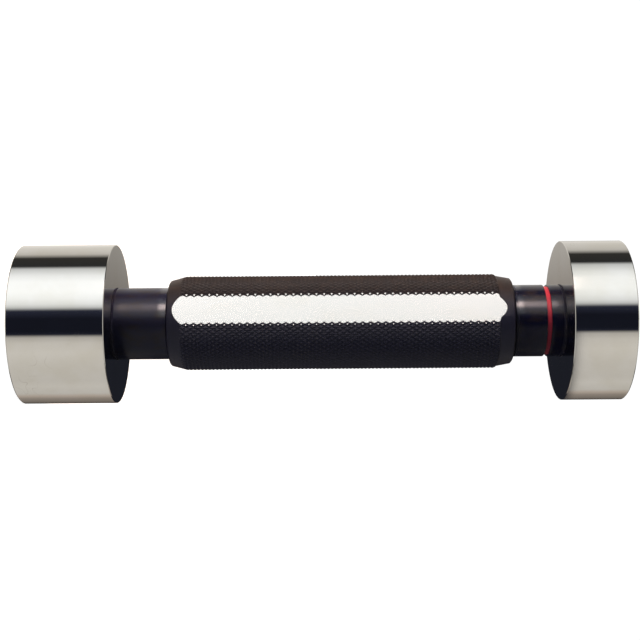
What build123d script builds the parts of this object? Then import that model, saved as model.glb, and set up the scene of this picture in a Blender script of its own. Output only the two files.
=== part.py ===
from build123d import *
import os
from math import ceil, isclose, pi, radians, tan

# A double-ended plain plug gauge for a 50 mm H7 hole, standing on its GO member.
# The origin is the centre of the GO member's outer face. +Z runs along the gauge,
# and the flat for the marking faces -Y. All sizes are in millimetres.

# Gauging cylinders: the GO one is the smallest good hole, the NO-GO one the largest
go_diameter = 50.0
hole_tolerance = 0.025
no_go_diameter = go_diameter + hole_tolerance
go_length = 29.2
no_go_length = 18.9
lead_chamfer = 0.3
back_chamfer = 0.2

# Necks between the gauging cylinders and the handle
neck_diameter = 22.6
go_neck_length = 16.7
no_go_neck_length = 15.2
neck_root_chamfer = 0.4
neck_end_chamfer = 0.2

# Coloured band in the neck of the NO-GO member: lacquer at the bottom of a turned groove
groove_width = 1.4
groove_depth = 0.8
groove_to_face = 4.15
lacquer_thickness = 0.25

# Centres on which the members were ground, in the outer faces
centre_recess_diameter = 10.0
centre_recess_depth = 0.6
centre_mouth_diameter = 6.7
centre_angle = 60
centre_drill_diameter = 3.15
centre_drill_depth = 8.0

# Self-holding tapers, 1 in 50 on the diameter, driven home with the necks clear of the handle
taper_rate = 1 / 50
taper_diameter = 16.0
shank_length = 24.0
shank_chamfer = 0.8
go_draw_gap = 0.3
no_go_draw_gap = 0.4

# Taper bores in the handle
bore_run_on = 5.0
bore_mouth_chamfer = 0.5
drill_run_on = 3.0
drill_point_angle = 118

# Holes in the back of the handle, for the drift that frees a worn member
drift_hole_diameter = 5.0
drift_overlap = 1.0

# Handle
handle_length = 106.9
knurl_diameter = 29.74
nose_diameter = 26.8
go_nose_angle = 15.0
no_go_nose_angle = 10.3
no_go_blank_diameter = 28.5
knurl_end_angle = 40.0
end_edge_break = 0.4

# Diamond knurl. Its points have the rolled ones' angle and depth, but stand nearly five times
# as far apart: the real ones follow each other every 2.34 mm along the handle
knurl_depth = 0.57
knurl_angle = 30.0
knurl_spacing = 6.67
knurl_points = round(pi * knurl_diameter / knurl_spacing)
knurl_pitch = pi * knurl_diameter / knurl_points / tan(radians(knurl_angle))

# Flat for the marking, measured from the gauge's axis
flat_distance = 13.9

# Heights along the gauge, from the face it stands on
handle_bottom = go_length + go_neck_length + go_draw_gap
handle_top = handle_bottom + handle_length
overall_length = handle_top + no_go_draw_gap + no_go_neck_length + no_go_length

# Each end of the gauge: its outer face, looking inwards along the axis
go_end = Plane(origin=(0, 0, 0), x_dir=(1, 0, 0), z_dir=(0, 0, 1))
no_go_end = Plane(origin=(0, 0, overall_length), x_dir=(1, 0, 0), z_dir=(0, 0, -1))


def half_section(end, depth=0):
    """The sketch plane with X as the radius and Y as the depth inwards from an end's face."""
    origin = end.origin + end.z_dir * depth
    return Plane(origin=origin, x_dir=end.x_dir, z_dir=end.x_dir.cross(end.z_dir))


def turn(plane, points, mode=Mode.ADD):
    """Turn a closed outline of (radius, depth) points about the gauge's axis."""
    with BuildSketch(plane) as section:
        with BuildLine():
            Polyline(points, close=True)
        make_face()
    revolve(section.sketch, axis=Axis.Z, mode=mode)


def taper_radius(depth):
    """The taper's radius at a depth below the handle's end face."""
    return taper_diameter / 2 - depth * taper_rate / 2


def circles(diameter, along):
    """The part's circular edges of one diameter, in order along an axis."""
    rims = edges().filter_by(GeomType.CIRCLE)
    return rims.filter_by(lambda rim: isclose(2 * rim.radius, diameter)).sort_by(along)


def turn_member(end, diameter, length, neck_length, draw_gap):
    """A gauging cylinder, its neck and its taper shank, turned from one bar."""
    neck_end = length + neck_length
    shank_end = neck_end + draw_gap + shank_length
    outline = [
        (0, 0),
        (diameter / 2, 0),
        (diameter / 2, length),
        (neck_diameter / 2, length),
        (neck_diameter / 2, neck_end),
        (taper_radius(-draw_gap), neck_end),
        (taper_radius(shank_length), shank_end),
        (0, shank_end),
    ]
    turn(half_section(end), outline)
    inwards = Axis(end.origin, end.z_dir)
    chamfer(circles(neck_diameter, inwards)[0], neck_root_chamfer)
    chamfer(circles(neck_diameter, inwards)[-1], neck_end_chamfer)
    chamfer(circles(2 * taper_radius(shank_length), inwards)[-1], shank_chamfer)
    chamfer(circles(diameter, inwards)[-1], back_chamfer)
    chamfer(circles(diameter, inwards)[0], lead_chamfer)


def drill_centre(end):
    """A 60 degree centre in an outer face, sunk in a recess that protects its mouth."""
    face = Plane(origin=end.origin, x_dir=end.x_dir, z_dir=-end.z_dir)
    with Locations(face):
        Hole(centre_recess_diameter / 2, depth=centre_recess_depth)
    with Locations(face.offset(-centre_recess_depth)):
        CounterSinkHole(
            centre_drill_diameter / 2,
            centre_mouth_diameter / 2,
            depth=centre_drill_depth,
            counter_sink_angle=centre_angle,
        )


def groove_outline(height):
    """The section of a ring that fills the groove from its floor up to a height."""
    floor_radius = neck_diameter / 2 - groove_depth
    start = no_go_length + groove_to_face
    return [
        (floor_radius, start),
        (floor_radius + height, start),
        (floor_radius + height, start + groove_width),
        (floor_radius, start + groove_width),
    ]


def bore_taper(end, depth):
    """A reamed taper bore, with the end of its drilled hole, from a face of the handle inwards."""
    reamed = shank_length + bore_run_on
    drilled = reamed + drill_run_on
    drill_radius = taper_radius(reamed)
    point_length = drill_radius / tan(radians(drill_point_angle / 2))
    outline = [
        (0, 0),
        (taper_radius(0) + bore_mouth_chamfer, 0),
        (taper_radius(bore_mouth_chamfer), bore_mouth_chamfer),
        (drill_radius, reamed),
        (drill_radius, drilled),
        (0, drilled + point_length),
    ]
    turn(half_section(end, depth), outline, mode=Mode.SUBTRACT)


def knurl_corner(row, column):
    """A point of the knurl or, every second one, a bottom where two of its grooves cross."""
    is_point = (row + column) % 2 == 0
    radius = knurl_diameter / 2 - (0 if is_point else knurl_depth)
    height = handle_bottom + (row - 1) * knurl_pitch / 2
    return Vector(radius, 0, height).rotate(Axis.Z, 180 * column / knurl_points)


def knurled_bar():
    """A bar covered with four-sided points, running past both ends of the handle."""
    rows = ceil(handle_length / (knurl_pitch / 2)) + 2
    columns = 2 * knurl_points
    facets = []
    for row in range(rows):
        for column in range(columns):
            # Between four corners the surface folds along the groove that joins the two bottoms
            corners = [(row, column), (row, column + 1), (row + 1, column + 1), (row + 1, column)]
            first = (row + column + 1) % 2
            for others in ((1, 2), (2, 3)):
                ends = [knurl_corner(*corners[(first + step) % 4]) for step in (0, *others)]
                facets.append(Face(Wire.make_polygon(ends)))
    for row in (0, rows):
        rim = [knurl_corner(row, column) for column in range(columns)]
        facets.append(Face(Wire.make_polygon(rim)))
    return Solid(Shell(facets))


# The GO member, whose gauging cylinder has to enter a good hole
with BuildPart() as go_member:
    turn_member(go_end, go_diameter, go_length, go_neck_length, go_draw_gap)
    drill_centre(go_end)

# The NO-GO member, shorter and marked by the groove in its neck
with BuildPart() as no_go_member:
    turn_member(no_go_end, no_go_diameter, no_go_length, no_go_neck_length, no_go_draw_gap)
    drill_centre(no_go_end)
    turn(half_section(no_go_end), groove_outline(2 * groove_depth), mode=Mode.SUBTRACT)

# The lacquer at the bottom of the groove
with BuildPart() as colour_band:
    turn(half_section(no_go_end), groove_outline(lacquer_thickness))

# The handle, a knurled bar turned down to a nose at each end
knurled_stock = knurled_bar()
with BuildPart() as handle:
    nose_radius = nose_diameter / 2
    blank_radius = no_go_blank_diameter / 2
    clear_radius = knurl_diameter / 2 + knurl_depth
    go_nose_length = (clear_radius - nose_radius) / tan(radians(go_nose_angle))
    no_go_nose_length = (blank_radius - nose_radius) / tan(radians(no_go_nose_angle))
    knurl_end_length = (clear_radius - blank_radius) / tan(radians(knurl_end_angle))
    blank_start = handle_top - no_go_nose_length
    handle_outline = [
        (0, handle_bottom),
        (nose_radius, handle_bottom),
        (clear_radius, handle_bottom + go_nose_length),
        (clear_radius, blank_start - knurl_end_length),
        (blank_radius, blank_start),
        (nose_radius, handle_top),
        (0, handle_top),
    ]
    turn(half_section(go_end), handle_outline)
    chamfer(circles(nose_diameter, Axis.Z), end_edge_break)
    add(knurled_stock, mode=Mode.INTERSECT)

    # The flat runs out in both noses
    split(bisect_by=Plane(origin=(0, -flat_distance, 0), z_dir=(0, 1, 0)), keep=Keep.TOP)

    bore_taper(go_end, handle_bottom)
    bore_taper(no_go_end, overall_length - handle_top)

    # A drift hole over the end of each shank, from the back into the bore
    drift_depth = shank_length + drift_hole_diameter / 2 - drift_overlap
    for height in (handle_bottom + drift_depth, handle_top - drift_depth):
        with Locations(Plane(origin=(0, clear_radius, height), z_dir=(0, 1, 0))):
            Hole(drift_hole_diameter / 2, depth=clear_radius)

os.makedirs("parts", exist_ok=True)
pieces = {
    "handle": handle,
    "go_member": go_member,
    "no_go_member": no_go_member,
    "colour_band": colour_band,
}
for name, piece in pieces.items():
    piece.part.label = name
    export_step(piece.part, f"parts/{name}.step")
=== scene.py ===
from math import ceil, cos, pi, radians, sin, tan

import bmesh
import bpy
from mathutils import Matrix, Vector


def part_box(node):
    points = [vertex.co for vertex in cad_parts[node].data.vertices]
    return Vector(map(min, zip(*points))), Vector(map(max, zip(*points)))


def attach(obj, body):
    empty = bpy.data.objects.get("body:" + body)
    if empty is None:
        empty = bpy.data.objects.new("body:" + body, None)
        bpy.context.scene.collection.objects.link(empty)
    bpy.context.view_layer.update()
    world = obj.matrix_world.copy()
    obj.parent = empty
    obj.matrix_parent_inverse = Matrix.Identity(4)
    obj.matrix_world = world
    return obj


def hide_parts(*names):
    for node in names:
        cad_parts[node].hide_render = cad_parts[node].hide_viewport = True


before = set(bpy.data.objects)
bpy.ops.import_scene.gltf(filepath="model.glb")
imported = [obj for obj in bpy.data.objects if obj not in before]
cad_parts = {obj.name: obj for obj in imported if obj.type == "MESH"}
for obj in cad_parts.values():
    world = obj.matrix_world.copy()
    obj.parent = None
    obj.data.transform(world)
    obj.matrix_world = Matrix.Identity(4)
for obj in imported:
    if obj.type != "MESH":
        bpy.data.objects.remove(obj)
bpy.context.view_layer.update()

# The GO member, which has to enter a good hole. It is turned from one bar of tool steel and
# blacked all over, and then its gauging cylinder and faces are ground and lapped bright.
# Its taper shank is driven into the handle, so the joint needs no screw.
go_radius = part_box("go_member")[1].x
go_cylinder_length = 0.0292
go_neck_length = 0.0167
go_draw_gap = 0.0003
neck_radius = 0.0113
lead_chamfer = 0.0003
back_chamfer = 0.0002
neck_end_chamfer = 0.0002
neck_root_round = 0.0002
edge_round = 0.00006
taper_radius = 0.008
taper_fall = 1 / 100
shank_length = 0.024
shank_chamfer = 0.0008
recess_radius, recess_depth = 0.005, 0.0006
centre_mouth_radius = 0.00335
centre_half_angle = radians(30)
centre_drill_radius, centre_drill_depth = 0.001575, 0.0086
segments_round = 256


def member_outline(gauge_radius, cylinder_length, neck_length, draw_gap, groove=()):
    """A member's corners: the radius, the depth below its outer face, and the size of a wide round."""
    cone_depth = (centre_mouth_radius - centre_drill_radius) / tan(centre_half_angle)
    neck_end = cylinder_length + neck_length
    shank_end = neck_end + draw_gap + shank_length
    shank_radius = taper_radius - shank_length * taper_fall
    return [
        (0, centre_drill_depth),
        (centre_drill_radius, centre_drill_depth),
        (centre_drill_radius, recess_depth + cone_depth),
        (centre_mouth_radius, recess_depth),
        (recess_radius, recess_depth),
        (recess_radius, 0),
        (gauge_radius - lead_chamfer, 0),
        (gauge_radius, lead_chamfer),
        (gauge_radius, cylinder_length - back_chamfer),
        (gauge_radius - back_chamfer, cylinder_length),
        (neck_radius, cylinder_length, neck_root_round),
        *groove,
        (neck_radius, neck_end - neck_end_chamfer),
        (neck_radius - neck_end_chamfer, neck_end),
        (taper_radius + draw_gap * taper_fall, neck_end),
        (shank_radius + shank_chamfer * taper_fall, shank_end - shank_chamfer),
        (shank_radius - shank_chamfer, shank_end),
        (0, shank_end),
    ]


def eased(outline, steps=3):
    """The outline with a small arc at each corner, or a wide one where the corner gives its radius."""
    points = [Vector(corner[:2]) for corner in outline]
    rounds = [corner[2] if len(corner) > 2 else edge_round for corner in outline]
    rounded = [points[0]]
    for before, corner, after, ease in zip(points, points[1:], points[2:], rounds[1:]):
        ways = [(before - corner).normalized(), (after - corner).normalized()]
        half = ways[0].angle(ways[1]) / 2
        centre = corner + (ways[0] + ways[1]).normalized() * ease / sin(half)
        start, end = [corner + way * ease / tan(half) - centre for way in ways]
        arc = [start.slerp(end, step / steps).normalized() for step in range(steps + 1)]
        rounded += [centre + ease * spoke for spoke in arc]
    return rounded + [points[-1]]


def point_outwards(mesh):
    """Turns every face of a closed mesh outwards."""
    work = bmesh.new()
    work.from_mesh(mesh)
    bmesh.ops.recalc_face_normals(work, faces=work.faces)
    work.to_mesh(mesh)
    work.free()


def turned(name, outline, is_ring=False):
    """A piece turned about Z from (radius, height) points, from axis to axis or as a closed ring."""
    corners, faces, rings = [], [], []
    for radius, height in outline:
        count = segments_round if radius > 0 else 1
        rings.append([len(corners) + k % count for k in range(segments_round)])
        turns = [2 * pi * k / segments_round for k in range(count)]
        corners += [(radius * cos(turn), radius * sin(turn), height) for turn in turns]
    following_rings = rings[1:] + rings[:1] if is_ring else rings[1:]
    for lower, upper in zip(rings, following_rings):
        for k in range(segments_round):
            following = (k + 1) % segments_round
            face = dict.fromkeys((lower[k], lower[following], upper[following], upper[k]))
            faces.append(list(face))
    mesh = bpy.data.meshes.new(name)
    mesh.from_pydata(corners, [], faces)
    point_outwards(mesh)
    piece = bpy.data.objects.new(name, mesh)
    bpy.context.scene.collection.objects.link(piece)
    return piece


def settle(piece):
    """Makes what the piece's modifiers give its plain mesh."""
    seen = piece.evaluated_get(bpy.context.evaluated_depsgraph_get())
    mesh = bpy.data.meshes.new_from_object(seen)
    piece.modifiers.clear()
    piece.data = mesh
    mesh.name = piece.name


def shade(piece, sharpest=radians(40)):
    """Smooth shading that keeps wide faces true, so that lapped steel reflects without a ripple."""
    piece.data.shade_smooth()
    piece.data.set_sharp_from_angle(angle=sharpest)
    normals = piece.modifiers.new("wide faces lead", "WEIGHTED_NORMAL")
    normals.keep_sharp = True
    settle(piece)


class Wire:
    """An output of a node. Operators on wires and numbers add Math nodes to the same tree."""

    def __init__(self, tree, output=None):
        self.tree, self.output = tree, output

    def __getitem__(self, name):
        """Another output of the same node."""
        return Wire(self.tree, self.output.node.outputs[name])

    def node(self, kind, sockets=(), output=0, stops=(), **settings):
        """Any node: its settings and a ramp's stops first, then its sockets' values or wires."""
        made = self.tree.nodes.new(kind)
        for name, value in settings.items():
            setattr(made, name, value)
        for _ in stops[2:]:
            made.color_ramp.elements.new(0.5)
        for place, (position, colour) in enumerate(stops):
            made.color_ramp.elements[place].position = position
            made.color_ramp.elements[place].color = (*colour, 1)
        for name, value in dict(sockets).items():
            if isinstance(value, Wire):
                self.tree.links.new(value.output, made.inputs[name])
            else:
                made.inputs[name].default_value = value
        return Wire(self.tree, made.outputs[output] if made.outputs else None)

    def maths(self, operation, *values):
        """A Math node on the given wires and numbers."""
        return self.node("ShaderNodeMath", enumerate(values), operation=operation)

    def __add__(self, other):
        return self.maths("ADD", self, other)

    def __sub__(self, other):
        return self.maths("SUBTRACT", self, other)

    def __rsub__(self, other):
        return self.maths("SUBTRACT", other, self)

    def __mul__(self, other):
        return self.maths("MULTIPLY", self, other)

    def __truediv__(self, other):
        return self.maths("DIVIDE", self, other)

    def __rtruediv__(self, other):
        return self.maths("DIVIDE", other, self)

    __radd__, __rmul__ = __add__, __mul__

    def rise(self, low, high):
        """Goes smoothly from 0 at low to 1 at high."""
        limits = {"Value": self, "From Min": low, "From Max": high}
        return self.node("ShaderNodeMapRange", limits, interpolation_type="SMOOTHSTEP")

    def between(self, start, end):
        """Rises to 1 over the first pair of limits, and falls back to 0 over the second."""
        return self.rise(*start) * (1 - self.rise(*end))

    def tint(self, first, second):
        """The first colour where this is 0, passing into the second where it is 1."""
        return self.node("ShaderNodeMix", {0: self, 6: first, 7: second}, 2, data_type="RGBA")


def new_finish(name):
    """A material with no nodes yet, and the wire that adds them."""
    finish = bpy.data.materials.new(name)
    finish.use_nodes = True
    finish.node_tree.nodes.clear()
    return finish, Wire(finish.node_tree)


def where(add):
    """The place on the piece: the vector, its three parts, and its distance from the gauge's axis."""
    place = add.node("ShaderNodeTexCoord", output="Object")
    parts = add.node("ShaderNodeSeparateXYZ", {0: place})
    across = add.node("ShaderNodeCombineXYZ", {"X": parts["X"], "Y": parts["Y"]})
    radius = add.node("ShaderNodeVectorMath", {0: across}, "Value", operation="LENGTH")
    return place, parts, radius


def grain(add, vector, scale, detail=2.0, roughness=0.5):
    """Noise from 0 to 1 over a vector in metres, with a scale in marks per metre."""
    sockets = {"Vector": vector, "Scale": scale, "Detail": detail, "Roughness": roughness}
    return add.node("ShaderNodeTexNoise", sockets)


def stretched(add, vector, amounts):
    """The vector with each of its parts multiplied, which draws a pattern out the other way."""
    return add.node("ShaderNodeVectorMath", {0: vector, 1: amounts}, operation="MULTIPLY")


steel_bright = (0.645, 0.63, 0.605, 1)
steel_warm = (0.61, 0.59, 0.545, 1)
steel_scuffed = (0.34, 0.32, 0.29, 1)
go_neck_black = (0.0044, 0.0050, 0.0150, 1)
neck_brown = (0.0065, 0.0048, 0.0050, 1)
oxide_gloss = 0.30
oil_roughness = 0.14
soft_edge = 0.00004
crisp_edge = soft_edge / 8
corner_dirt = 3 * neck_root_round
end_dirt, clean_neck = 0.0005, 0.0009
end_film, bare_neck = 0.0016, 0.0032
hairlines_per_metre, rings_per_metre, stains_per_metre = 5200, 4200, 420


def member_finish(name, outer_face, inwards, cylinder_length, neck_end,
                  neck_black, oxide_rough, oiled, grimy):
    """Lapped bright steel, with the black oxide left on the neck and in the centre's recess."""
    finish, add = new_finish(name)
    place, parts, radius = where(add)
    depth = (parts["Z"] - outer_face) * inwards
    neck = depth.between(
        (cylinder_length, cylinder_length + crisp_edge), (neck_end, neck_end + soft_edge))
    recess = depth.between(
        (soft_edge, 4 * soft_edge), (centre_drill_depth, centre_drill_depth + soft_edge))
    recess = recess * (1 - radius.rise(recess_radius, recess_radius + soft_edge))
    cone = radius.between(
        (centre_drill_radius, centre_drill_radius + soft_edge),
        (centre_mouth_radius - soft_edge, centre_mouth_radius))
    blacked = neck + recess * (1 - cone)

    # Lapping leaves hairlines round the cylinder, and grinding leaves rings on the faces
    hairlines = grain(add, add.node("ShaderNodeCombineXYZ", {"Z": parts["Z"]}), hairlines_per_metre, 3)
    rings = grain(add, add.node("ShaderNodeCombineXYZ", {"X": radius}), rings_per_metre, 3)
    on_face = 1 - depth.between((0, soft_edge), (cylinder_length - soft_edge, cylinder_length))
    lines = hairlines * (1 - on_face) + rings * on_face
    handling = grain(add, place, 90, 3)
    stains = grain(add, stretched(add, place, (1, 1, 0.6)), stains_per_metre, 4, 0.6)

    # Scuffs are short curved hairs, in a few patches where the gauge has been laid down
    curl = grain(add, stretched(add, place, (1, 1, 1.6)), 150, 1) - 0.5
    hair = 1 - curl.maths("ABSOLUTE", curl).rise(0.002, 0.012)
    scuffs = hair * grain(add, place, 48, 1).rise(0.60, 0.68) * (1 - on_face)

    bright = handling.rise(0.35, 0.75).tint(steel_bright, steel_warm)
    bright = (scuffs * 0.25).tint(bright, steel_scuffed)
    black = stains.rise(0.4, 0.8).tint(neck_black, neck_brown)
    steel_rough = 0.035 + 0.02 * hairlines + 0.02 * handling + 0.04 * on_face + 0.1 * scuffs

    # Dirt dulls the corner at the neck's root, and on one member the end of the neck as well.
    # Oil that creeps out of the handle leaves the neck's end shiny in patches
    corner = 1 - depth.rise(cylinder_length + neck_root_round, cylinder_length + corner_dirt)
    dirty_end = grimy * depth.rise(neck_end - clean_neck, neck_end - end_dirt)
    dirt = corner.maths("MAXIMUM", corner, dirty_end)
    black_rough = oxide_rough + 0.12 * stains
    black_rough = black_rough + (1 - black_rough) * dirt
    film = depth.rise(neck_end - bare_neck, neck_end - end_film)
    film = neck * (oiled + (0.8 - oiled) * film * stains.rise(0.25, 0.5))
    bump = add.node("ShaderNodeBump", {"Strength": 0.35, "Distance": 0.000004, "Height": lines})
    shader = add.node("ShaderNodeBsdfPrincipled", {
        "Base Color": blacked.tint(bright, black),
        "Metallic": 1 - blacked,
        "Roughness": steel_rough * (1 - blacked) + black_rough * blacked,
        "Specular IOR Level": oxide_gloss,
        "Coat Weight": film,
        "Coat Roughness": oil_roughness,
        "Normal": bump,
    })
    add.node("ShaderNodeOutputMaterial", {"Surface": shader})
    return finish


go_member = turned("go_gauge_member", eased(member_outline(
    go_radius, go_cylinder_length, go_neck_length, go_draw_gap)))
shade(go_member)
go_member.data.materials.append(member_finish(
    "lapped and blacked steel, GO", 0, 1, go_cylinder_length, go_cylinder_length + go_neck_length,
    go_neck_black, oxide_rough=0.24, oiled=0.0, grimy=0.0))
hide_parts("go_member")
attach(go_member, "root")

# The NO-GO member, which mustn't enter a good hole. It is made as the GO member is, but
# shorter, and a groove turned in its neck marks it.
no_go_radius, _, no_go_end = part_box("no_go_member")[1]
band_bottom, band_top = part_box("colour_band")
no_go_cylinder_length = 0.0189
no_go_neck_length = 0.0152
no_go_draw_gap = 0.0004
no_go_neck_black = (0.0014, 0.0018, 0.0085, 1)
groove_depth = 0.0008
groove_floor = neck_radius - groove_depth
groove = [
    (neck_radius, no_go_end - band_top.z),
    (groove_floor, no_go_end - band_top.z),
    (groove_floor, no_go_end - band_bottom.z),
    (neck_radius, no_go_end - band_bottom.z),
]
no_go_outline = member_outline(
    no_go_radius, no_go_cylinder_length, no_go_neck_length, no_go_draw_gap, groove)
no_go_member = turned("no_go_gauge_member", [
    (radius, no_go_end - depth) for radius, depth in eased(no_go_outline)])
shade(no_go_member)
no_go_member.data.materials.append(member_finish(
    "lapped and blacked steel, NO-GO", no_go_end, -1, no_go_cylinder_length,
    no_go_cylinder_length + no_go_neck_length, no_go_neck_black,
    oxide_rough=0.18, oiled=0.15, grimy=1.0))
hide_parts("no_go_member")
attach(no_go_member, "root")

# The coloured band that marks the NO-GO end: red lacquer, run into the groove with a brush
# while the gauge turned, so that it is crowned and a little uneven.
lacquer_crown = 0.00006
lacquer_clearance = 0.00001
lacquer_floor = groove_floor + lacquer_clearance
lacquer_red = (0.15, 0.011, 0.024, 1)
lacquer_dark = (0.11, 0.011, 0.022, 1)
crown_steps = 8
band_middle = (band_bottom.z + band_top.z) / 2
band_half = (band_top.z - band_bottom.z) / 2
crown = [(band_top.x - lacquer_crown * (2 * step / crown_steps - 1) ** 2,
          band_middle + band_half * (2 * step / crown_steps - 1)) for step in range(crown_steps + 1)]


def lacquer_finish():
    """Glossy red, thinner and darker in streaks round the band."""
    finish, add = new_finish("red lacquer")
    place, _, _ = where(add)
    streaks = grain(add, stretched(add, place, (1, 1, 6)), 420, 3)
    bump = add.node("ShaderNodeBump", {"Strength": 0.3, "Distance": 0.00003, "Height": streaks})
    shader = add.node("ShaderNodeBsdfPrincipled", {
        "Base Color": streaks.rise(0.35, 0.75).tint(lacquer_red, lacquer_dark),
        "Roughness": 0.34 + 0.15 * streaks,
        "Specular IOR Level": 0.22,
        "Normal": bump,
    })
    add.node("ShaderNodeOutputMaterial", {"Surface": shader})
    return finish


band = turned("no_go_colour_band", [
    (lacquer_floor, band_bottom.z), *crown, (lacquer_floor, band_top.z)], is_ring=True)
shade(band)
band.data.materials.append(lacquer_finish())
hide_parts("colour_band")
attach(band, "root")

# The handle: a steel bar, turned and bored at both ends, then rolled with a diamond knurl,
# blacked, and ground with one bright flat. Two drift holes in its back let a worn member be
# knocked out of its taper.
handle_bottom, handle_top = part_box("handle")
crest_wear = 0.00004
crest_radius = handle_top.x - crest_wear
flat_distance = -handle_bottom.y
nose_radius = 0.0134
go_nose_angle = radians(15)
no_go_nose_angle = radians(10.3)
no_go_blank_radius = 0.01425
knurl_end_angle = radians(40)
end_edge_break = 0.0004
bore_mouth_chamfer = 0.0005
reamed_depth = 0.029
drilled_depth = 0.032
drill_half_angle = radians(59)
drift_radius = 0.0025
drift_depth = 0.0255
knurl_depth = 0.00038
knurl_pitch = 0.002343
knurl_teeth = 64
knurl_tip = 0.03
knurl_start = 0.00037
knurl_turn = 0.00567
knurl_spare_rows = 5
knurl_facet_angle = radians(14)
# Painted shade: the blue-black of the handle's lower side. The black and brown below it make the
# painted sheen of the upper side, mixed by stains
shaded_side_blue = (0.0046, 0.0050, 0.0150, 1)
handle_black = (0.0072, 0.0058, 0.0066, 1)
handle_brown = (0.0120, 0.0088, 0.0084, 1)
tip_worn = (0.05, 0.045, 0.042, 1)
tip_clean, tip_bare = 0.00009, 0.00004
flat_skin = 0.00001
# Where the painted sheen on the handle's upper side begins, and how far round it grows
lit_side_start, lit_side_reach = 0.004, 0.012


def bore(mouth, inwards):
    """The outline of a taper bore, from the axis out to its mouth, with heights along the gauge."""
    drill_radius = taper_radius - reamed_depth * taper_fall
    outline = [
        (0, drilled_depth + drill_radius / tan(drill_half_angle)),
        (drill_radius, drilled_depth),
        (drill_radius, reamed_depth),
        (taper_radius - bore_mouth_chamfer * taper_fall, bore_mouth_chamfer),
        (taper_radius + bore_mouth_chamfer, 0),
    ]
    return [(radius, mouth + depth * inwards) for radius, depth in outline]


def handle_blank():
    """The turned and bored handle, left too thick where the knurl will be."""
    thick = crest_radius + knurl_depth
    go_cone = (thick - nose_radius) / tan(go_nose_angle)
    no_go_cone = (no_go_blank_radius - nose_radius) / tan(no_go_nose_angle)
    knurl_end = (thick - no_go_blank_radius) / tan(knurl_end_angle)
    low, high = handle_bottom.z, handle_top.z
    outline = [
        *bore(low, 1),
        (nose_radius - end_edge_break, low),
        (nose_radius + end_edge_break * tan(go_nose_angle), low + end_edge_break),
        (thick, low + go_cone),
        (thick, high - no_go_cone - knurl_end),
        (no_go_blank_radius, high - no_go_cone),
        (nose_radius + end_edge_break * tan(no_go_nose_angle), high - end_edge_break),
        (nose_radius - end_edge_break, high),
        *reversed(bore(high, -1)),
    ]
    return turned("handle_blank", outline)


def knurl_tree():
    """The diamond knurl: blunt pyramids in staggered rows, rolled round the axis and closed."""
    tree = bpy.data.node_groups.new("diamond knurl", "GeometryNodeTree")
    for name, kind in (
        ("Teeth round", "NodeSocketInt"),
        ("Half rows", "NodeSocketInt"),
        ("Pitch", "NodeSocketFloat"),
        ("Crest radius", "NodeSocketFloat"),
        ("Depth", "NodeSocketFloat"),
        ("Blunt tip", "NodeSocketFloat"),
        ("Start height", "NodeSocketFloat"),
        ("Turn", "NodeSocketFloat"),
        ("Finish", "NodeSocketMaterial"),
    ):
        tree.interface.new_socket(name, in_out="INPUT", socket_type=kind)
    tree.interface.new_socket("Geometry", in_out="OUTPUT", socket_type="NodeSocketGeometry")
    size = Wire(tree).node("NodeGroupInput")
    teeth, pitch, depth = size["Teeth round"], size["Pitch"], size["Depth"]
    root = size["Crest radius"] - depth
    weld = 0.000002

    # One tooth, two pitches long over its diagonals
    cone = {"Vertices": 4, "Radius Top": size["Blunt tip"], "Radius Bottom": 1.0, "Depth": 1.0}
    tooth = size.node("GeometryNodeMeshCone", cone, fill_type="NGON")
    tooth = size.node("GeometryNodeDeleteGeometry", {"Geometry": tooth, "Selection": tooth["Bottom"]},
                      domain="FACE", mode="ONLY_FACE")
    turn_step = 2 * pi / teeth
    spread = size.node("ShaderNodeCombineXYZ", {"X": pitch / 2, "Y": turn_step / 2, "Z": depth})
    tooth = size.node("GeometryNodeTransform", {"Geometry": tooth, "Scale": spread})

    # Every second row is half a tooth round. X is the height, Y the turn and Z the relief
    index = size.node("GeometryNodeInputIndex")
    row = index.maths("FLOOR", (index + 0.5) / teeth)
    column = index - row * teeth
    stagger = row.maths("MODULO", row, 2) / 2
    place = size.node("ShaderNodeCombineXYZ", {
        "X": row * (pitch / 2), "Y": (column + stagger) * turn_step})
    points = size.node("GeometryNodePoints", {"Count": teeth * size["Half rows"], "Position": place})
    teeth_set = size.node("GeometryNodeInstanceOnPoints", {"Points": points, "Instance": tooth})
    sheet = size.node("GeometryNodeRealizeInstances", {"Geometry": teeth_set})

    parts = size.node("ShaderNodeSeparateXYZ", {0: size.node("GeometryNodeInputPosition")})
    radius, turn = root + parts["Z"], parts["Y"] + size["Turn"]
    rolled = size.node("ShaderNodeCombineXYZ", {
        "X": radius * turn.maths("COSINE", turn),
        "Y": radius * turn.maths("SINE", turn),
        "Z": parts["X"] + size["Start height"]})
    sleeve = size.node("GeometryNodeSetPosition", {"Geometry": sheet, "Position": rolled})
    sleeve = size.node("GeometryNodeMergeByDistance", {"Geometry": sleeve, "Distance": weld})

    # Each open end is drawn in to a point on the axis
    neighbours = size.node("GeometryNodeInputMeshEdgeNeighbors")
    rim = neighbours.maths("LESS_THAN", neighbours, 1.5)
    closed = size.node("GeometryNodeExtrudeMesh", {
        "Mesh": sleeve, "Selection": rim, "Offset Scale": 0.0}, mode="EDGES")
    height = size.node("ShaderNodeSeparateXYZ", {0: size.node("GeometryNodeInputPosition")})["Z"]
    middle = size["Start height"] + pitch * size["Half rows"] / 4
    upper = height.maths("GREATER_THAN", height, middle)
    end = size["Start height"] + upper * (pitch * (size["Half rows"] - 1) / 2)
    on_axis = size.node("ShaderNodeCombineXYZ", {"Z": end})
    closed = size.node("GeometryNodeSetPosition", {
        "Geometry": closed, "Selection": closed["Top"], "Position": on_axis})
    closed = size.node("GeometryNodeMergeByDistance", {"Geometry": closed, "Distance": weld})
    finished = size.node("GeometryNodeSetMaterial", {"Geometry": closed, "Material": size["Finish"]})
    size.node("NodeGroupOutput", {"Geometry": finished})
    return tree


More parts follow.
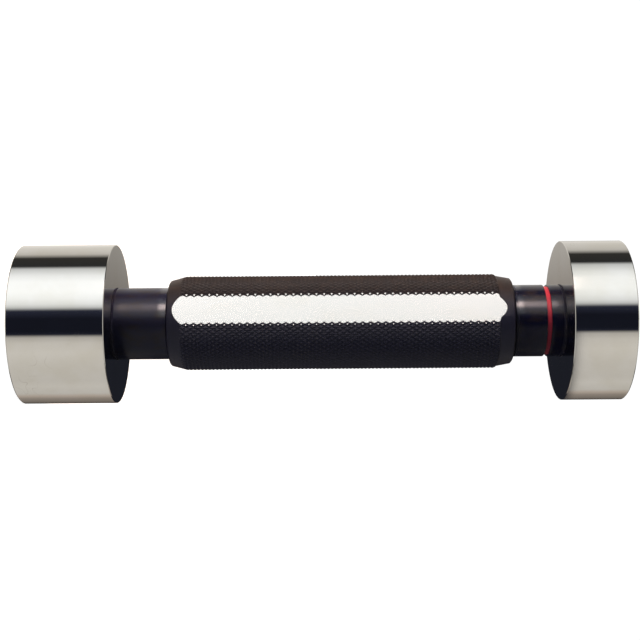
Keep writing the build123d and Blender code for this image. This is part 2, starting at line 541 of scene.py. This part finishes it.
def drift_cutter(height):
    """What a drift hole takes out of the handle's back, down to the bore."""
    reach = crest_radius + knurl_depth
    cutter = turned("drift_hole", [(0, 0), (drift_radius, 0), (drift_radius, reach), (0, reach)])
    cutter.data.transform(Matrix.Translation((0, 0, height)) @ Matrix.Rotation(-pi / 2, 4, "X"))
    return cutter


def flat_cutter():
    """What the grinding of the flat takes off the handle's front."""
    reach = crest_radius * 2
    mesh = bpy.data.meshes.new("flat_cutter")
    work = bmesh.new()
    bmesh.ops.create_cube(work, size=1)
    block = Matrix.Diagonal((2 * reach, reach, handle_top.z - handle_bottom.z + reach, 1))
    middle = (0, -flat_distance - reach / 2, (handle_bottom.z + handle_top.z) / 2)
    bmesh.ops.transform(work, matrix=Matrix.Translation(middle) @ block, verts=work.verts)
    work.to_mesh(mesh)
    work.free()
    cutter = bpy.data.objects.new("flat_cutter", mesh)
    bpy.context.scene.collection.objects.link(cutter)
    return cutter


def handle_finish():
    """Black oxide with a painted sheen on its upper side and painted shade on its lower, bright on the
    ground flat and rubbed thin on the tips of the knurl.
    """
    finish, add = new_finish("blackened knurled steel")
    place, parts, radius = where(add)
    flat = (-flat_distance + 2 * flat_skin - parts["Y"]).rise(0, flat_skin)
    tips = radius.rise(crest_radius - tip_clean, crest_radius - tip_bare)
    patches = grain(add, place, 130, 3)
    stains = grain(add, place, stains_per_metre, 4, 0.6)
    worn = tips * patches.rise(0.45, 0.75)
    strokes = grain(add, stretched(add, place, (14, 14, 1)), 420, 3)
    smudges = grain(add, stretched(add, place, (1, 1, 0.5)), 140, 3)

    # The oxide's lower side is painted blue-black as shade, and its upper side painted brown as sheen
    # where the light falls, uneven with stains
    bright = (smudges.rise(0.45, 0.8) * 0.5).tint(steel_bright, steel_warm)
    painted_lit_side = (lit_side_start - parts["X"]).rise(0, lit_side_reach)
    black = painted_lit_side.tint(shaded_side_blue, stains.rise(0.4, 0.8).tint(handle_black, handle_brown))
    tip_steel = worn.tint(black, tip_worn)
    rough_black = 0.42 + 0.12 * stains
    rough_flat = 0.14 + 0.06 * strokes + 0.05 * smudges
    bump = add.node("ShaderNodeBump", {
        "Strength": 0.3, "Distance": 0.000005, "Height": strokes * flat + stains * (1 - flat)})
    shader = add.node("ShaderNodeBsdfPrincipled", {
        "Base Color": flat.tint(tip_steel, bright),
        "Metallic": flat + worn * 0.6 * (1 - flat),
        "Roughness": rough_black * (1 - flat) + rough_flat * flat,
        "Specular IOR Level": oxide_gloss,
        "Normal": bump,
    })
    add.node("ShaderNodeOutputMaterial", {"Surface": shader})
    return finish


handle_steel = handle_finish()
knurl = knurl_tree()
handle = bpy.data.objects.new("knurled_handle", bpy.data.meshes.new("knurled_handle"))
bpy.context.scene.collection.objects.link(handle)
rolling = handle.modifiers.new("knurl", "NODES")
rolling.node_group = knurl
knurl_sizes = {
    "Teeth round": knurl_teeth,
    "Half rows": ceil((handle_top.z - handle_bottom.z) / (knurl_pitch / 2)) + knurl_spare_rows,
    "Pitch": knurl_pitch,
    "Crest radius": crest_radius,
    "Depth": knurl_depth,
    "Blunt tip": knurl_tip,
    "Start height": handle_bottom.z - knurl_pitch + knurl_start,
    "Turn": knurl_turn,
    "Finish": handle_steel,
}
for socket in knurl.interface.items_tree:
    if socket.in_out == "INPUT":
        rolling[socket.identifier] = knurl_sizes[socket.name]

drift_heights = (handle_bottom.z + drift_depth, handle_top.z - drift_depth)
cutters = [handle_blank(), flat_cutter(), *map(drift_cutter, drift_heights)]
for cutter, operation in zip(cutters, ("INTERSECT", "DIFFERENCE", "DIFFERENCE", "DIFFERENCE")):
    cut = handle.modifiers.new(cutter.name, "BOOLEAN")
    cut.operation = operation
    cut.solver = "MANIFOLD"
    cut.object = cutter
settle(handle)
for cutter in cutters:
    bpy.data.objects.remove(cutter)
shade(handle, knurl_facet_angle)
handle.data.materials.clear()
handle.data.materials.append(handle_steel)
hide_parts("handle")
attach(handle, "root")

# The camera looks at the gauge from the side, level with its middle, with the gauge lying
# across the picture. The flat's face is turned a little above the line of sight.
flat_lift = radians(17.4)
picture_tilt = radians(0.46)
camera_swing = radians(0.435)
camera_distance = 0.3759
aim_height = 0.0932
camera_offset = 0.00072
camera_lens = 66.85
along = Vector((0, 0, 1))
towards_camera = Vector((sin(flat_lift), -cos(flat_lift), 0))
picture_up = Vector((-cos(flat_lift), -sin(flat_lift), 0))
camera = bpy.data.objects.new("camera", bpy.data.cameras.new("camera"))
bpy.context.scene.collection.objects.link(camera)
camera.data.lens = camera_lens
camera.data.clip_start = 0.01
back = towards_camera * cos(camera_swing) + along * sin(camera_swing)
level = along * cos(camera_swing) - towards_camera * sin(camera_swing)
right = level * cos(picture_tilt) - picture_up * sin(picture_tilt)
up = picture_up * cos(picture_tilt) + level * sin(picture_tilt)
stand = along * aim_height + picture_up * camera_offset + back * camera_distance
camera.matrix_world = Matrix.Translation(stand) @ Matrix((right, up, back)).transposed().to_4x4()
bpy.context.scene.camera = camera

# The light: a tent of soft paper and silk round the gauge with black cards in it, which the
# lapped cylinders show as dark bands. Angles go round the gauge's axis, from the line of
# sight towards the top of the picture, in degrees.
tent_radius = 0.6
tent_bottom, tent_top = -1.2, 1.4
white_silk = (1.0, 1.03, 1.04)
cream_paper = (1.0, 0.965, 0.90)
brown_paper = (1.0, 0.87, 0.76)
black_card = (0.50, 0.57, 1.0)
tent_stops = [
    (-180, black_card, 0.035),
    (-163, brown_paper, 0.06),
    (-151, brown_paper, 0.20),
    (-133, brown_paper, 0.36),
    (-124, brown_paper, 0.58),
    (-116, cream_paper, 0.70),
    (-98, cream_paper, 0.78),
    (-86, cream_paper, 0.74),
    (-62, cream_paper, 0.78),
    (-40, cream_paper, 0.86),
    (-26, cream_paper, 0.80),
    (-18, cream_paper, 0.62),
    (-14, black_card, 0.035),
    (-10, black_card, 0.021),
    (8, black_card, 0.021),
    (19.2, black_card, 0.06),
    (23.4, white_silk, 0.80),
    (28, white_silk, 1.15),
    (36, white_silk, 1.39),
    (46, white_silk, 1.52),
    (62, white_silk, 1.49),
    (72, white_silk, 1.28),
    (84.6, white_silk, 0.83),
    (89.6, white_silk, 0.036),
    (108.5, cream_paper, 0.045),
    (119, cream_paper, 0.74),
    (128, cream_paper, 0.84),
    (146, cream_paper, 0.90),
    (162, cream_paper, 1.00),
    (172, cream_paper, 0.60),
    (180, brown_paper, 0.25),
]
brightest = max(brightness for _, _, brightness in tent_stops) * max(white_silk)
lamp_glow, lamp_colour = 12.5, (1, 0.80, 0.77, 1)
lower_card = (0.009, 0.010, 0.0145, 1)
end_grey = (0.42, 0.41, 0.39, 1)
gauge_middle = 0.09

# Soft edges of light and dark, each from where it starts to where it is full: turns in
# degrees, heights in metres, and reaches along the axis from the gauge's middle
lamp_turns = (39, 51), (58, 68)
lamp_heights = (-0.072, -0.060), (0.270, 0.285)
lamp_reach = (0.075, 0.11)
card_turn = (-16, -13)
card_heights = (-0.078, -0.066), (0.282, 0.294)
dim_turn, dim_height, dim_end = (-10, 10), (0.09, 0.26), (0.26, 0.3)
behind_turn, behind_height = (150, 170), (0.08, 0.14)
dark_reach, grey_reach = (0.3, 0.55), (0.75, 0.95)

tent_finish, add = new_finish("light tent")
_, parts, _ = where(add)
ahead = parts["X"] * towards_camera.x + parts["Y"] * towards_camera.y
lift = parts["X"] * picture_up.x + parts["Y"] * picture_up.y
turn = lift.maths("ARCTAN2", lift, ahead) * (180 / pi)
stops = [((angle + 180) / 360, tuple(part * brightness / brightest for part in paper))
         for angle, paper, brightness in tent_stops]
colours = add.node("ShaderNodeValToRGB", {"Fac": (turn + 180) / 360}, stops=stops)

# A lamp behind the silk shines only where the necks show it, and a second black card lies
# below the gauge, where the necks and the handle show it but the cylinders don't
height = parts["Z"]
from_middle = height - gauge_middle
reach = from_middle.maths("ABSOLUTE", from_middle)
lamp = turn.between(*lamp_turns) * height.between(*lamp_heights) * reach.rise(*lamp_reach)
on_card = (1 - turn.rise(*card_turn)) * height.between(*card_heights)

# The tent is dimmer towards the NO-GO end and behind it, and dark past both ends of the gauge.
# Its own far ends are grey, which the outer faces show
dimmer = height.rise(*dim_height) * (1 - 0.5 * height.rise(*dim_end)) * turn.rise(*dim_turn)
behind = turn.rise(*behind_turn) * height.rise(*behind_height)
past_end, far_end = reach.rise(*dark_reach), reach.rise(*grey_reach)
shadows = (1 - 0.3 * behind) * (1 - 0.85 * past_end * (1 - far_end))
silk = (1 - 0.13 * dimmer) * shadows
walls = on_card.tint(colours, lower_card)
paper = add.node("ShaderNodeEmission", {
    "Color": far_end.tint(walls, end_grey), "Strength": silk * brightest})
glow = add.node("ShaderNodeEmission", {
    "Color": lamp_colour, "Strength": lamp * lamp_glow * (1 - past_end)})
light = add.node("ShaderNodeAddShader", {0: paper, 1: glow})
add.node("ShaderNodeOutputMaterial", {"Surface": light})

tent_mesh = bpy.data.meshes.new("light_tent")
work = bmesh.new()
bmesh.ops.create_cone(work, segments=180, radius1=tent_radius, radius2=tent_radius,
                      depth=tent_top - tent_bottom, cap_ends=True)
bmesh.ops.translate(work, verts=work.verts, vec=(0, 0, (tent_top + tent_bottom) / 2))
work.to_mesh(tent_mesh)
work.free()
tent = bpy.data.objects.new("light_tent", tent_mesh)
bpy.context.scene.collection.objects.link(tent)
tent_mesh.materials.append(tent_finish)
tent.visible_camera = False

# A warm lamp over the gauge lights what is matt, and is kept out of the reflections
key_turn = radians(88)
key_reach, key_size, key_power = 0.55, 0.3, 20.0
key_colour = (1, 0.66, 0.42)
key_from = towards_camera * cos(key_turn) + picture_up * sin(key_turn)
key_side = along.cross(key_from)
key = bpy.data.objects.new("key_lamp", bpy.data.lights.new("key_lamp", "AREA"))
key.data.size, key.data.energy, key.data.color = key_size, key_power, key_colour
key.matrix_world = Matrix.Translation(key_from * key_reach + along * aim_height) @ Matrix(
    (key_side.cross(key_from), key_side, key_from)).transposed().to_4x4()
key.visible_glossy = False
key.visible_camera = False
bpy.context.scene.collection.objects.link(key)

# The floor is white and glows, so that it stays even and pale right to the picture's edges,
# and the sky beyond it is as pale.
floor_glow, floor_reach, sky_glow = 0.9, 8, 1.05
white = (1, 1, 1, 1)
floor_grey = (0.5, 0.5, 0.5, 1)
floor_finish, add = new_finish("white floor")
lit = add.node("ShaderNodeEmission", {"Color": white, "Strength": floor_glow})
matt = add.node("ShaderNodeBsdfDiffuse", {"Color": floor_grey})
floor_light = add.node("ShaderNodeAddShader", {0: lit, 1: matt})
add.node("ShaderNodeOutputMaterial", {"Surface": floor_light})
floor_mesh = bpy.data.meshes.new("floor")
work = bmesh.new()
bmesh.ops.create_grid(work, x_segments=1, y_segments=1, size=floor_reach)
work.to_mesh(floor_mesh)
work.free()
floor = bpy.data.objects.new("floor", floor_mesh)
bpy.context.scene.collection.objects.link(floor)
floor_mesh.materials.append(floor_finish)
floor.visible_glossy = False

world = bpy.data.worlds.new("studio")
world.use_nodes = True
world.node_tree.nodes["Background"].inputs["Color"].default_value = white
world.node_tree.nodes["Background"].inputs["Strength"].default_value = sky_glow
bpy.context.scene.world = world
bpy.context.scene.view_settings.view_transform = "Standard"
